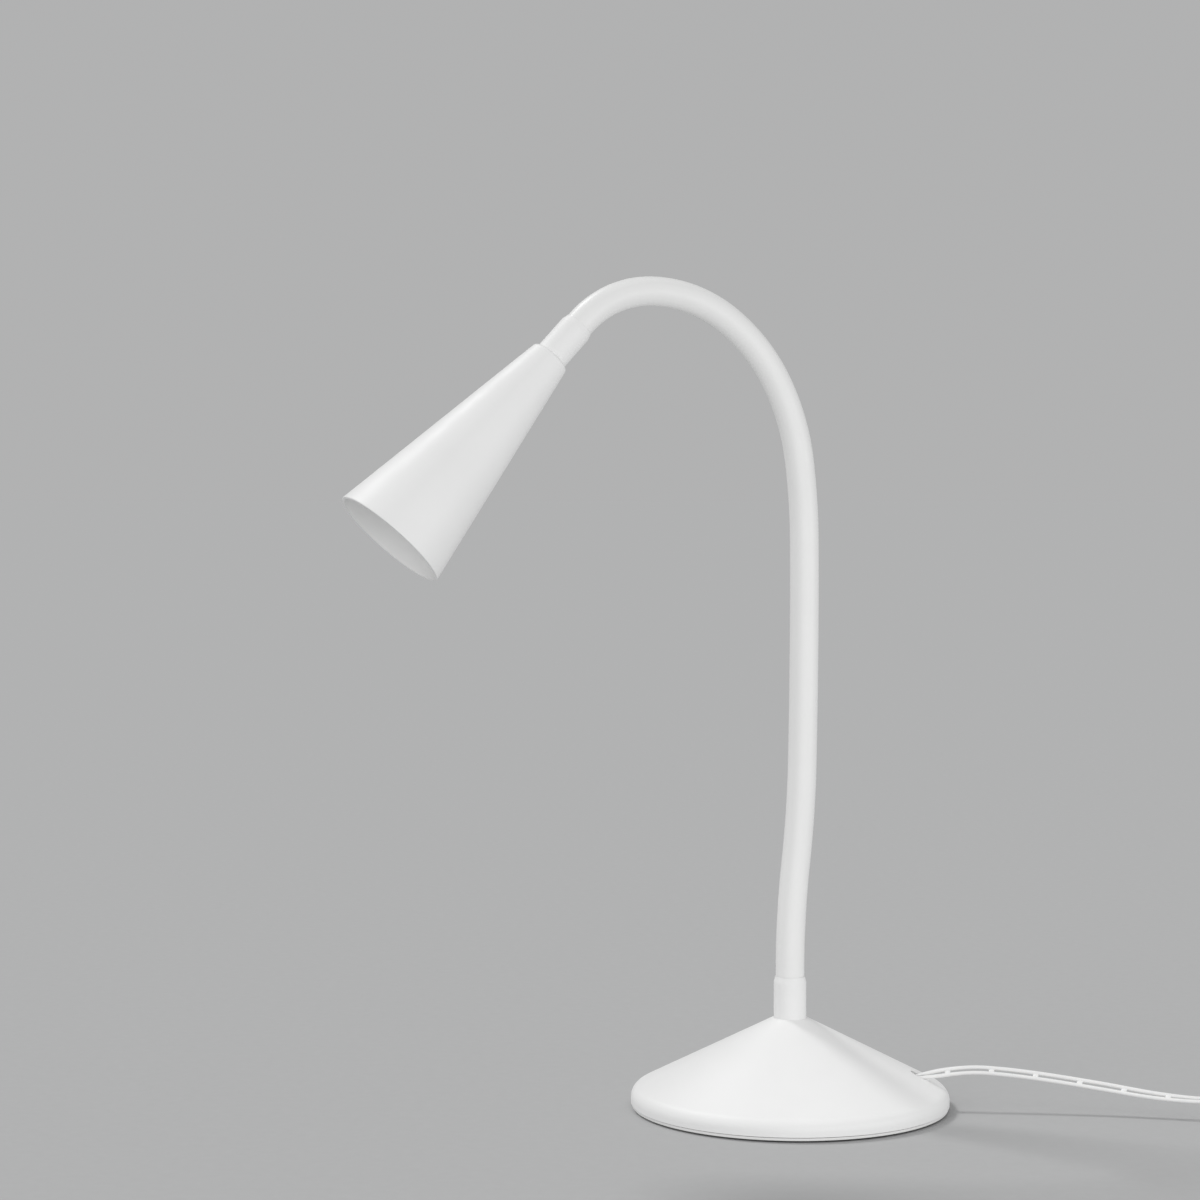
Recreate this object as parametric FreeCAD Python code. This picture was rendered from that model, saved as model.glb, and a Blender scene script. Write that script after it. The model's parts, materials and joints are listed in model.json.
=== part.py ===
import FreeCAD, Part
import math
import os

# Gooseneck desk lamp: weighted round base, flexible neck, small conical shade and a twin cord.
# Millimetres, +Z up, origin at the centre of the base on the table.

V = FreeCAD.Vector
ORIGIN = V(0, 0, 0)
X_AXIS = V(1, 0, 0)
Y_AXIS = V(0, 1, 0)
Z_AXIS = V(0, 0, 1)

# General fits
fit_gap = 0.3              # between pieces that only sit beside each other
slide_gap = 0.15           # radial, tube in socket
pivot_gap = 0.05           # radial, pin in a running hole
past = 1.0                 # cutting shapes run this far past what they cut
skew_past = 6.0            # the same along the tilted cord's axis
bite = 0.2                 # bosses and fins run this far into the wall that carries them

# Base
base_d = 150.0
base_h = 42.5              # flat top of the cover
base_top_d = 16.6
base_edge_h = 8.5          # sharp corner that the shoulder rounds
base_shoulder_r = 6.0
cover_wall = 2.0
cover_top_wall = 3.0
cover_top_r = 0.5
foot_t = 0.7
foot_d = 140.0
plate_rim_t = 1.35
plate_t = 2.7
plate_rim_inset = 0.5      # the plate's rim stands this far inside the cover's side
plate_chamfer = 0.5
seam_gap = 0.35
weight_d = 116.0
weight_t = 8.0
weight_bore_d = 34.0
boss_d = 8.0
boss_pitch_d = 82.0
boss_count = 3
boss_angle = 60.0
boss_hole_l = 12.0
screw_d = 3.0
screw_head_d = 5.6
screw_head_t = 1.6
base_screw_l = 10.0

# Neck: stem fixing, links and collars
neck_d = 13.5
sleeve_wall = 1.25
core_wall = 1.7
ferrule_bore_d = 5.4
lead_d = 4.8
collar_l = 19.6
collar_wall = 0.75
collar_taper_l = 2.6       # the collar narrows softly towards the neck
collar_taper_w = 0.62
collar_ease_r = 5.0
stem_thread_d = 10.0
stem_thread_l = 14.0
stem_cup_l = 10.0
cup_floor = 2.0            # the neck's cores stand this far from the cover and the shade
nut_flats = 15.0
nut_t = 5.0
washer_d = 18.0
washer_t = 1.0
first_joint_gap = 4.0      # from the lower collar's top to the first bending point
last_joint_gap = 2.0       # from the last bending point to the upper collar
lower_link_l = 50.0
upper_link_l = 39.0
lower_turns = [-6.5, 5.5, 0.5, 1.0]
upper_turns = [7.0, 21.0, 26.5, 34.5, 47.5]
joint_setback = 1.4        # each core stops this far from the bending point
head_azimuth = 201.0       # direction the head leans to, from +X

# Shade and light engine, measured along the shade's axis
shade_l = 112.0
shade_top_d = 18.6
shade_mouth_d = 55.6
shade_wall = 1.5
shade_top_wall = 2.0
shade_top_r = 1.6
shade_edge_r = 0.4
head_thread_d = 8.0
head_thread_l = 9.0
head_nut_flats = 11.0
head_nut_t = 4.0
lens_recess = 16.0         # from the mouth to the lens ring's face
lens_ring_l = 3.0
lens_ring_w = 1.8
lens_t = 2.0
reflector_l = 12.0
reflector_wall = 1.4
reflector_foot_t = 1.0
reflector_rise = 1.6       # its cone starts this far in front of the board
reflector_rim_t = 1.0
reflector_chip_gap = 0.6
reflector_screw_gap = 1.8
chip_d = 9.0
chip_t = 0.8
board_t = 1.6
board_d = 34.0
sink_plate_t = 4.0
fin_l = 12.0
fin_count = 7
fin_t = 1.2
fin_pitch = 3.6
board_screw_d = 2.0
board_screw_pitch_d = 26.0
board_screw_count = 3
board_screw_angle = 90.0
board_screw_head_d = 3.6
board_screw_head_t = 1.0
board_screw_bite = 2.5

# Cord: twin lead, put away in a coil past the switch
cord_d = 5.0
cord_lift = 1.3            # the tied coil lies on its band
cord_gap = 0.5
coil_turns_per_layer = 3.75
coil_mid_r = 30.5
climb_steepness = 1.3      # how steeply the cord rises where the spiral turns back
band_w = 9.0
run_steps = [              # x from the base's edge, from the grommet to the switch
    (-22.93, -3.64, 13.2),
    (2.5, -5.42, 19.3),
    (29.0, -8.0, 18.1),
    (64.0, -14.2, 13.8),
    (99.0, -23.6, 9.0),
    (128.0, -31.37, 9.0),
]
link_steps = [             # the same, from the switch to the coil
    (187.89, -47.42, 9.0),
    (203.34, -51.56, 9.0),
    (223.0, -54.0, 3.8),
    (239.0, -54.0, 3.8),
]

# Cord fixing inside the base, measured along the cord's own axis from its first point
grommet_l = 8.0
grommet_d = 7.4
grommet_flange_d = 8.6
grommet_flange_t = 1.0
cradle_gap = 1.1           # leaves the level cradle clear of the tilted flanges
cord_hole_d = 6.8
clamp_gap = 4.0            # from the grommet to the clamp
clamp_l = 8.0
clamp_w = 24.0
clamp_t = 5.0
clamp_screw_inset = 4.0
clamp_screw_bite = 6.0
cradle_w = 12.0
slot_side_gap = 1.0
lead_bend_gap = 2.0        # from the clamp to the lead's first bend
lead_bend_drop = 1.2       # how much lower the lead enters the terminal block
block_l = 18.0
block_w = 13.0
block_h = 10.0
block_well_d = 3.6
block_well_depth = 3.0
block_well_offset = 5.5
block_well_angle = 35.0

# In-line switch
switch_l = 62.0
switch_w = 24.0
switch_h = 18.0
switch_wall = 1.8
switch_corner_r = 7.0
switch_edge_r = 2.4
switch_inner_r = 0.8
switch_screw_inset = 12.0
switch_screw_d = 2.0
switch_screw_l = 11.0
switch_screw_head_d = 3.8
switch_screw_head_t = 1.0
switch_screw_sink = 1.5    # the heads' undersides stand this far above the case's bottom
switch_hole_top = 3.0      # the screw holes end this far under the case's top
pillar_d = 5.2
rocker_w = 9.0
rocker_half_l = 8.6
rocker_rise = 1.8          # the rocker's ends stand this far above the case
rocker_dip = 1.3           # its middle lies this much lower than its ends
rocker_end_depth = 2.0     # its ends reach this far under the pin's axis
rocker_keel_depth = 4.0
rocker_keel_half_l = 3.0
rocker_edge_r = 0.6
rocker_pin_depth = 3.4     # the pin's axis under the case's top
rocker_pin_reach = 2.6     # the pin's ends past the rocker's sides
rocker_cheek_l = 6.0
rocker_cheek_t = 3.5
rocker_cheek_drop = 3.0
rocker_room_floor = 0.5    # the rocker's well starts this far above the case's split
rocker_tilt = 7.0          # at rest, to the off side
rocker_pin_d = 2.4
rocker_gap = 0.4
contact_l = 26.0
contact_w = 5.0
contact_t = 1.2
contact_post_h = 4.0
contact_side = 5.6         # each contact's middle from the case's middle

# Plug: flat two-pin
plug_l = 36.0
plug_w = 35.0
plug_h = 14.0
plug_neck_w = 12.0
plug_neck_l = 8.0
plug_shoulder_l = 16.0     # from the cord's entry to the full width
plug_edge_r = 2.0
plug_pin_d = 4.0
plug_pin_l = 19.0
plug_pin_pitch = 19.0
plug_pin_root = 8.0
plug_root_d = 3.0          # the pins are thinner inside the case
plug_tip_r = 1.2
tail_steps = [             # back, aside and down from the coil's end
    (11.0, 0.0, 0.0),
    (24.0, 2.0, 1.3),
    (37.0, 2.0, 1.3),
]

parts = {}


def keep(name, shape):
    """Keep one named piece."""
    if not shape.isValid():
        print("not valid:", name)
    parts[name] = shape


def rounded_wire(corners):
    """Closed wire in the XZ plane through corners (x, z, radius), each rounded by its radius."""
    pts = [V(c[0], 0, c[1]) for c in corners]
    edges = []
    ends = []
    for i, (p, c) in enumerate(zip(pts, corners)):
        r = c[2] if len(c) > 2 else 0.0
        if r <= 0:
            ends.append((p, p, None))
            continue
        a = (pts[i - 1] - p).normalize()
        b = (pts[(i + 1) % len(pts)] - p).normalize()
        half = a.getAngle(b) / 2
        cut = r / math.tan(half)
        middle = (a + b).normalize()
        mid = p + middle * (r / math.sin(half) - r)
        ends.append((p + a * cut, p + b * cut, mid))
    for i, (start, end, mid) in enumerate(ends):
        if mid is not None:
            edges.append(Part.Arc(start, mid, end).toShape())
        following = ends[(i + 1) % len(ends)][0]
        if (following - end).Length > 1e-6:
            edges.append(Part.LineSegment(end, following).toShape())
    return Part.Wire(edges)


def turned(corners):
    """Solid of revolution about Z from corners (radius, z, rounding)."""
    return Part.Face(rounded_wire(corners)).revolve(ORIGIN, Z_AXIS, 360)


def ring(outer_d, inner_d, z0, z1):
    """Straight ring from z0 to z1."""
    return turned([(inner_d / 2, z0), (outer_d / 2, z0), (outer_d / 2, z1), (inner_d / 2, z1)])


def disc(d, z0, z1):
    """Straight disc from z0 to z1."""
    return Part.makeCylinder(d / 2, z1 - z0, V(0, 0, z0))


def rod(d, start, direction, length):
    """Cylinder from a point along a direction."""
    return Part.makeCylinder(d / 2, length, start, direction)


def hex_prism(flats, z0, z1):
    """Hexagon from z0 to z1, by its width across flats."""
    r = flats / math.sqrt(3)
    pts = [V(r * math.cos(math.radians(60 * k)), r * math.sin(math.radians(60 * k)), z0) for k in range(7)]
    return Part.Face(Part.makePolygon(pts)).extrude(V(0, 0, z1 - z0))


def turned_about_z(shape, angle):
    """Copy turned about the Z axis."""
    out = shape.copy()
    out.rotate(ORIGIN, Z_AXIS, angle)
    return out


def polar(r, angle, z=0.0):
    """Point at a radius and an angle in degrees."""
    return V(r * math.cos(math.radians(angle)), r * math.sin(math.radians(angle)), z)


def stand(shape, u, z, tilt):
    """Tilt a piece built along +Z, move it in the head's plane, and swing it to the head's side."""
    out = shape.copy()
    out.rotate(ORIGIN, Y_AXIS, tilt)
    out.translate(V(u, 0, z))
    out.rotate(ORIGIN, Z_AXIS, head_azimuth)
    return out


def pan_screw(d, length, head_d, head_t):
    """Screw along +Z with its head below z = 0."""
    crown_r = head_t / 2
    slot_w = d / 4
    head = turned([(0, -head_t), (head_d / 2, -head_t, crown_r), (head_d / 2, 0), (0, 0)])
    slot = Part.makeBox(head_d, slot_w, head_t / 2, V(-head_d / 2, -slot_w / 2, -head_t))
    cross = turned_about_z(slot, 90)
    return head.fuse(disc(d, 0, length)).cut(slot.fuse(cross)).removeSplitter()


# The cord's route, and its own axis where it leaves the base
cord_points = [(base_d / 2 + x, y, z) for x, y, z in run_steps]
link_points = [(base_d / 2 + x, y, z) for x, y, z in link_steps]
cord_start = V(*cord_points[0])
cord_dir = (V(*cord_points[1]) - cord_start).normalize()
cord_azimuth = math.degrees(math.atan2(cord_dir.y, cord_dir.x))


def cord_axis(distance):
    """Point on the cord's exit axis, a distance inside the base."""
    return cord_start - cord_dir * distance


base_r = base_d / 2
plate_top = foot_t + plate_t
rim_top = foot_t + plate_rim_t
cover_bottom = rim_top + seam_gap
cone_slope = math.atan2(base_h - base_edge_h, base_r - base_top_d / 2)
cone_offset = cover_wall / math.cos(cone_slope)
neck_r = neck_d / 2
core_d = neck_d - 2 * sleeve_wall - 2 * fit_gap
core_bore_d = core_d - 2 * core_wall
clamp_start = grommet_l + clamp_gap


def inner_cone_r(z):
    """Inner radius of the cover's cone at a height."""
    return base_r - (z + cone_offset - base_edge_h) / math.tan(cone_slope)


def boss_places():
    """Centres of the cover's screw bosses."""
    return [polar(boss_pitch_d / 2, boss_angle + 360.0 / boss_count * k) for k in range(boss_count)]


def base_cover():
    """Conical cover with a rounded shoulder, screw bosses and the cord's hole."""
    side_in = base_r - cover_wall
    top_in = base_h - cover_top_wall
    inner_edge = base_edge_h - cone_offset + cover_wall * math.tan(cone_slope)
    shell = turned([
        (stem_thread_d / 2 + slide_gap, base_h),
        (stem_thread_d / 2 + slide_gap, top_in),
        (inner_cone_r(top_in), top_in),
        (side_in, inner_edge, base_shoulder_r - cover_wall),
        (side_in, cover_bottom),
        (base_r, cover_bottom),
        (base_r, base_edge_h, base_shoulder_r),
        (base_top_d / 2, base_h, cover_top_r),
    ])
    bosses = []
    for p in boss_places():
        column = disc(boss_d, plate_top + fit_gap, base_h)
        column.translate(p)
        bosses.append(column)
    envelope = turned([(0, cover_bottom), (side_in + bite, cover_bottom), (side_in + bite, inner_edge),
                       (inner_cone_r(top_in) + bite, top_in + bite), (0, top_in + bite)])
    shell = shell.fuse([b.common(envelope) for b in bosses])
    for p in boss_places():
        hole = disc(screw_d + 2 * slide_gap, plate_top, plate_top + boss_hole_l)
        hole.translate(p)
        shell = shell.cut(hole)
    passage = rod(cord_hole_d, cord_axis(grommet_l), cord_dir, base_r)
    return shell.cut(passage).removeSplitter()


def clamp_box(width, start, length, z0, z1):
    """Box across the cord's axis, from start to start plus length inside the base."""
    near = cord_axis(start + length)
    out = Part.makeBox(length * math.cos(math.asin(cord_dir.z)), width, z1 - z0, V(0, -width / 2, z0))
    out.rotate(ORIGIN, Z_AXIS, cord_azimuth)
    out.translate(V(near.x, near.y, 0))
    return out


def clamp_screw_places():
    """Centres of the clamp's two screws."""
    middle = cord_axis(clamp_start + clamp_l / 2)
    side = polar(clamp_w / 2 - clamp_screw_inset, cord_azimuth + 90)
    return [V(middle.x, middle.y, 0) + side, V(middle.x, middle.y, 0) - side]


def clamp_groove():
    """Space of the lead along the clamp, past its ends but short of the grommet's cradle."""
    ahead = clamp_gap - fit_gap
    return rod(lead_d + 2 * pivot_gap, cord_axis(clamp_start + clamp_l + skew_past), cord_dir,
               clamp_l + skew_past + ahead)


clamp_mid_z = cord_axis(clamp_start + clamp_l / 2).z
cradle_mid_z = cord_axis(grommet_l / 2).z


def base_plate():
    """Bottom plate with its locating step, the clamp's lower half and the grommet's cradle."""
    rim_r = base_r - plate_rim_inset
    step_r = base_r - cover_wall - slide_gap * 2
    plate = turned([(0, foot_t), (rim_r, foot_t, plate_chamfer), (rim_r, rim_top), (step_r, rim_top),
                    (step_r, plate_top), (0, plate_top)])
    lower_clamp = clamp_box(clamp_w, clamp_start, clamp_l, rim_top, clamp_mid_z)
    inset = grommet_flange_t + cradle_gap
    cradle = clamp_box(cradle_w, inset, grommet_l - 2 * inset, rim_top, cradle_mid_z)
    plate = plate.fuse([lower_clamp, cradle])
    plate = plate.cut(clamp_groove())
    plate = plate.cut(rod(grommet_d + 2 * pivot_gap, cord_axis(grommet_l + past), cord_dir,
                          grommet_l + 2 * past))
    for p in clamp_screw_places():
        hole = disc(screw_d, rim_top, clamp_mid_z + past)
        hole.translate(p)
        plate = plate.cut(hole)
    for p in boss_places():
        hole = disc(screw_d + 2 * slide_gap, foot_t, plate_top)
        sink = disc(screw_head_d + 2 * fit_gap, foot_t, foot_t + screw_head_t)
        for tool in (hole, sink):
            tool.translate(p)
            plate = plate.cut(tool)
    return plate.removeSplitter()


def base_weight():
    """Steel disc with a slot for the cord and holes for the bosses."""
    weight = ring(weight_d, weight_bore_d, plate_top, plate_top + weight_t)
    slot = Part.makeBox(base_r, clamp_w + 2 * slot_side_gap, weight_t + 2 * past,
                        V(0, -clamp_w / 2 - slot_side_gap, plate_top - past))
    weight = weight.cut(turned_about_z(slot, cord_azimuth))
    for p in boss_places():
        hole = disc(boss_d + 2 * fit_gap, plate_top - past, plate_top + weight_t + past)
        hole.translate(p)
        weight = weight.cut(hole)
    return weight


def base_screws():
    """Screws from below through the plate into the cover's bosses."""
    out = []
    for p in boss_places():
        s = pan_screw(screw_d, base_screw_l, screw_head_d, screw_head_t - fit_gap)
        s.translate(p + V(0, 0, foot_t + screw_head_t))
        out.append(s)
    return Part.makeCompound(out)


def clamp_screws():
    """Two screws down through the clamp into the plate."""
    out = []
    for p in clamp_screw_places():
        s = pan_screw(screw_d - 2 * slide_gap, clamp_t + clamp_screw_bite, screw_head_d, screw_head_t)
        s.rotate(ORIGIN, X_AXIS, 180)
        s.translate(p + V(0, 0, clamp_mid_z + fit_gap + clamp_t))
        out.append(s)
    return Part.makeCompound(out)


def cord_clamp():
    """Upper half of the clamp over the lead."""
    z0 = clamp_mid_z + fit_gap
    bar = clamp_box(clamp_w, clamp_start, clamp_l, z0, z0 + clamp_t)
    bar = bar.cut(clamp_groove())
    for p in clamp_screw_places():
        hole = disc(screw_d + slide_gap, z0 - past, z0 + clamp_t + past)
        hole.translate(p)
        bar = bar.cut(hole)
    return bar


def cord_grommet():
    """Rubber bush that the cord passes through, flanged at both ends."""
    bush = rod(grommet_d, cord_axis(grommet_l), cord_dir, grommet_l)
    for at in (grommet_l, grommet_flange_t):
        bush = bush.fuse(rod(grommet_flange_d, cord_axis(at), cord_dir, grommet_flange_t))
    bore = rod(lead_d - 2 * slide_gap, cord_axis(grommet_l + past), cord_dir, grommet_l + 2 * past)
    return bush.cut(bore).removeSplitter()


def tangent_path(points, report=None):
    """Wire of straight runs joined by tangent arcs sized by the shorter run."""
    pts = [V(*p) for p in points]
    edges = []
    radii = []
    last = pts[0]
    for before, p, after in zip(pts, pts[1:], pts[2:]):
        a = (before - p).normalize()
        b = (after - p).normalize()
        half_turn = (math.pi - a.getAngle(b)) / 2
        cut = 0.45 * min((before - p).Length, (after - p).Length)
        radius = cut / math.tan(half_turn)
        mid = p + (a + b).normalize() * (math.hypot(radius, cut) - radius)
        edges.append(Part.LineSegment(last, p + a * cut).toShape())
        edges.append(Part.Arc(p + a * cut, mid, p + b * cut).toShape())
        radii.append(radius)
        last = p + b * cut
    edges.append(Part.LineSegment(last, pts[-1]).toShape())
    if report:
        print(report, "radii:", ", ".join("%.0f" % r for r in radii))
    return Part.Wire(edges)


def swept(wire, d, start, direction):
    """Round tube of diameter d along a wire."""
    section = Part.Wire(Part.makeCircle(d / 2, start, direction))
    shell = Part.BRepOffsetAPI.MakePipeShell(wire)
    shell.add(section)
    shell.build()
    shell.makeSolid()
    return shell.shape()


def say_volume(name, wire, tube, d):
    """Print a tube's length, and its volume against its section times its length."""
    ratio = tube.Volume / (wire.Length * math.pi * d * d / 4)
    print(name, "length %.1f, volume ratio %.4f" % (wire.Length, ratio))


def cord_tube(name, points, d):
    """Tube along a hand-chosen route."""
    wire = tangent_path(points, name)
    start = V(*points[0])
    tube = swept(wire, d, start, V(*points[1]) - start)
    say_volume(name, wire, tube, d)
    return tube


def base_lead():
    """Lead from the grommet through the clamp to the terminal block."""
    inner = cord_axis(grommet_l)
    past = cord_axis(clamp_start + clamp_l + lead_bend_gap)
    level = past.z - lead_bend_drop
    before_block = polar((past.x + block_l / 2) / 2, cord_azimuth, level)
    block_side = polar(block_l / 2, cord_azimuth, level)
    route = [tuple(inner), tuple(past), tuple(before_block), tuple(block_side)]
    return cord_tube("base_lead", route, lead_d - 2 * slide_gap)


def terminal_block():
    """Block in the weight's bore that joins the cord to the neck's lead."""
    block = Part.makeBox(block_l, block_w, block_h, V(-block_l / 2, -block_w / 2, plate_top))
    block.rotate(ORIGIN, Z_AXIS, cord_azimuth)
    for k in (-1, 1):
        well = disc(block_well_d, plate_top + block_h - block_well_depth, plate_top + block_h + past)
        well.translate(polar(block_well_offset * k, cord_azimuth + block_well_angle))
        block = block.cut(well)
    return block


def stem_ferrule():
    """Threaded stem with a cup for the neck's core."""
    return turned([
        (ferrule_bore_d / 2, base_h - stem_thread_l),
        (stem_thread_d / 2, base_h - stem_thread_l),
        (stem_thread_d / 2, base_h),
        (neck_r, base_h),
        (neck_r, base_h + stem_cup_l),
        (core_d / 2 + slide_gap, base_h + stem_cup_l),
        (core_d / 2 + slide_gap, base_h + cup_floor),
        (ferrule_bore_d / 2, base_h + cup_floor),
    ])


def stem_nut():
    """Nut under the cover's top."""
    top = base_h - cover_top_wall - washer_t
    bore = disc(stem_thread_d + 2 * pivot_gap, top - nut_t - past, top + past)
    return hex_prism(nut_flats, top - nut_t, top).cut(bore)


def lock_washer():
    """Washer between the nut and the cover."""
    top = base_h - cover_top_wall
    return ring(washer_d, stem_thread_d + 2 * slide_gap, top - washer_t, top)


def collar():
    """Collar from z = 0 up, tapered at its far end."""
    inner = neck_r + slide_gap
    outer = inner + collar_wall
    return turned([(inner, 0), (outer, 0), (outer, collar_l - collar_taper_l, collar_ease_r),
                   (outer - collar_taper_w, collar_l), (inner, collar_l)])


def neck_links():
    """Each link's start (u, z, tilt), length and turn, and last the straight end's start."""
    turns = [(lower_link_l, t) for t in lower_turns] + [(upper_link_l, t) for t in upper_turns]
    u, z, tilt = 0.0, base_h + collar_l + first_joint_gap, 0.0
    out = []
    for length, turn in turns:
        out.append((u, z, tilt, length, turn))
        r = length / math.radians(turn)
        a, b = math.radians(tilt), math.radians(tilt + turn)
        u += r * (math.cos(a) - math.cos(b))
        z += r * (math.sin(b) - math.sin(a))
        tilt += turn
    out.append((u, z, tilt, 0.0, 0.0))
    return out


LINKS = neck_links()
HEAD_U, HEAD_Z, HEAD_TILT = LINKS[-1][:3]


def bent_tube(outer_d, inner_d, length, turn, s0, s1):
    """Tube along part of a link's arc, in the link's own place: start at the origin, +Z ahead."""
    radius = length / math.radians(turn)
    wires = [Part.Wire(Part.makeCircle(d / 2, ORIGIN, Z_AXIS)) for d in (outer_d, inner_d) if d > 0]
    face = Part.makeFace(wires, "Part::FaceMakerBullseye")
    centre = V(radius, 0, 0)
    face.rotate(centre, Y_AXIS, turn * s0 / length)
    return face.revolve(centre, Y_AXIS, turn * (s1 - s0) / length)


def on_neck(shape, distance):
    """A piece built along +Z, placed along the head's axis from the last bending point."""
    out = shape.copy()
    out.translate(V(0, 0, distance))
    return stand(out, HEAD_U, HEAD_Z, HEAD_TILT)


HEAD_START = last_joint_gap                       # the upper collar's start
SHADE_START = HEAD_START + collar_l
MOUTH = SHADE_START + shade_l
shade_taper = (shade_mouth_d - shade_top_d) / 2 / shade_l


def shade_inner_r(at):
    """Inner radius of the shade at a distance from the last bending point."""
    along = at - SHADE_START
    return shade_top_d / 2 + along * shade_taper - shade_wall / math.cos(math.atan(shade_taper))


def neck_pieces():
    """Cores and sleeves of the fixed start, the bending links and the head's end."""
    sleeve_bore = neck_d - 2 * sleeve_wall
    first_z = LINKS[0][1]
    keep("neck_core_01", ring(core_d, core_bore_d, base_h + cup_floor, first_z - joint_setback))
    keep("neck_sleeve_01", ring(neck_d, sleeve_bore, base_h + stem_cup_l, first_z))
    for k, (u, z, tilt, length, turn) in enumerate(LINKS[:-1], 2):
        core = bent_tube(core_d, core_bore_d, length, turn, joint_setback, length - joint_setback)
        keep("neck_core_%02d" % k, stand(core, u, z, tilt))
        sleeve = bent_tube(neck_d, sleeve_bore, length, turn, 0, length)
        keep("neck_sleeve_%02d" % k, stand(sleeve, u, z, tilt))
    last = len(LINKS) + 1
    core = ring(core_d, core_bore_d, joint_setback, SHADE_START - cup_floor)
    keep("neck_core_%02d" % last, on_neck(core, 0))
    sleeve = ring(neck_d, sleeve_bore, 0, SHADE_START - stem_cup_l)
    keep("neck_sleeve_%02d" % last, on_neck(sleeve, 0))


def neck_lead(board_back):
    """Lead through the whole neck, from the terminal block to the light's board."""
    block_top = plate_top + block_h
    first_z = LINKS[0][1]
    pieces = [disc(lead_d, block_top, first_z)]
    for u, z, tilt, length, turn in LINKS[:-1]:
        pieces.append(stand(bent_tube(lead_d, 0, length, turn, 0, length), u, z, tilt))
    pieces.append(on_neck(disc(lead_d, 0, board_back), 0))
    return pieces[0].fuse(pieces[1:]).removeSplitter()


def shade():
    """Conical shade, closed at its narrow end but for the stem's hole."""
    inner_top = SHADE_START + shade_top_wall
    hole_r = head_thread_d / 2 + slide_gap
    return turned([
        (hole_r, SHADE_START),
        (shade_top_d / 2, SHADE_START, shade_top_r),
        (shade_mouth_d / 2, MOUTH, shade_edge_r),
        (shade_inner_r(MOUTH), MOUTH, shade_edge_r),
        (shade_inner_r(inner_top), inner_top),
        (hole_r, inner_top),
    ])


def upper_ferrule():
    """Threaded stem with a cup, fixing the neck's core to the shade."""
    cup_end = SHADE_START - stem_cup_l
    floor = SHADE_START - cup_floor
    return turned([
        (ferrule_bore_d / 2, floor), (core_d / 2 + slide_gap, floor), (core_d / 2 + slide_gap, cup_end),
        (neck_r, cup_end), (neck_r, SHADE_START), (head_thread_d / 2, SHADE_START),
        (head_thread_d / 2, SHADE_START + head_thread_l), (ferrule_bore_d / 2, SHADE_START + head_thread_l),
    ])


def shade_nut():
    """Nut inside the shade's narrow end."""
    start = SHADE_START + shade_top_wall
    nut = hex_prism(head_nut_flats, start, start + head_nut_t)
    return nut.cut(disc(head_thread_d + 2 * pivot_gap, start - past, start + head_nut_t + past))


ring_end = MOUTH - lens_recess
ring_start = ring_end - lens_ring_l
lens_start = ring_start - lens_t
reflector_start = lens_start - reflector_l
board_front = reflector_start
board_back = board_front - board_t
sink_back = board_back - sink_plate_t


def fitted(start, end, inner_d=0.0):
    """Ring or disc whose rim follows the shade's inside with a fitting gap."""
    a = shade_inner_r(start) - slide_gap
    b = shade_inner_r(end) - slide_gap
    return turned([(inner_d / 2, start), (a, start), (b, end), (inner_d / 2, end)])


def board_screw_places():
    """Centres of the board's screws, on the shade's axis at z = 0."""
    step = 360.0 / board_screw_count
    return [polar(board_screw_pitch_d / 2, board_screw_angle + step * k) for k in range(board_screw_count)]


def board_holes(d, start, end):
    """One hole for each of the board's screws."""
    out = []
    for p in board_screw_places():
        hole = disc(d, start, end)
        hole.translate(p)
        out.append(hole)
    return out


def heat_sink():
    """Finned disc wedged in the shade's cone."""
    fins_start = sink_back - fin_l
    body = fitted(sink_back, board_back)
    limit = fitted(fins_start, sink_back + bite)
    fins = [disc(lead_d + 2 * fin_t, fins_start, sink_back + bite)]
    for k in range(fin_count):
        y = (k - (fin_count - 1) / 2) * fin_pitch
        corner = V(-shade_mouth_d / 2, y - fin_t / 2, fins_start)
        fins.append(Part.makeBox(shade_mouth_d, fin_t, fin_l + bite, corner).common(limit))
    holes = board_holes(board_screw_d, sink_back - past, board_back + past)
    bore = disc(lead_d + 2 * fit_gap, fins_start - past, board_back + past)
    return body.fuse(fins).cut(holes + [bore]).removeSplitter()


def led_board():
    """Round board that carries the chip."""
    holes = board_holes(board_screw_d + slide_gap, board_back - past, board_front + past)
    return disc(board_d, board_back, board_front).cut(holes)


def board_screws():
    """Screws that hold the board to the heat sink."""
    out = []
    for p in board_screw_places():
        s = pan_screw(board_screw_d - slide_gap, board_t + board_screw_bite,
                      board_screw_head_d, board_screw_head_t)
        s.rotate(ORIGIN, X_AXIS, 180)
        s.translate(p + V(0, 0, board_front))
        out.append(s)
    return Part.makeCompound(out)


def reflector():
    """Cone from round the chip out to the lens."""
    foot = chip_d / 2 + reflector_chip_gap
    back = (board_screw_pitch_d - board_screw_head_d) / 2 - reflector_screw_gap
    mouth = shade_inner_r(lens_start - reflector_rim_t) - slide_gap
    return turned([
        (foot, board_front), (back, board_front), (back, board_front + reflector_rise),
        (mouth, lens_start - reflector_rim_t), (mouth, lens_start), (mouth - reflector_wall, lens_start),
        (foot, board_front + reflector_foot_t),
    ])


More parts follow.
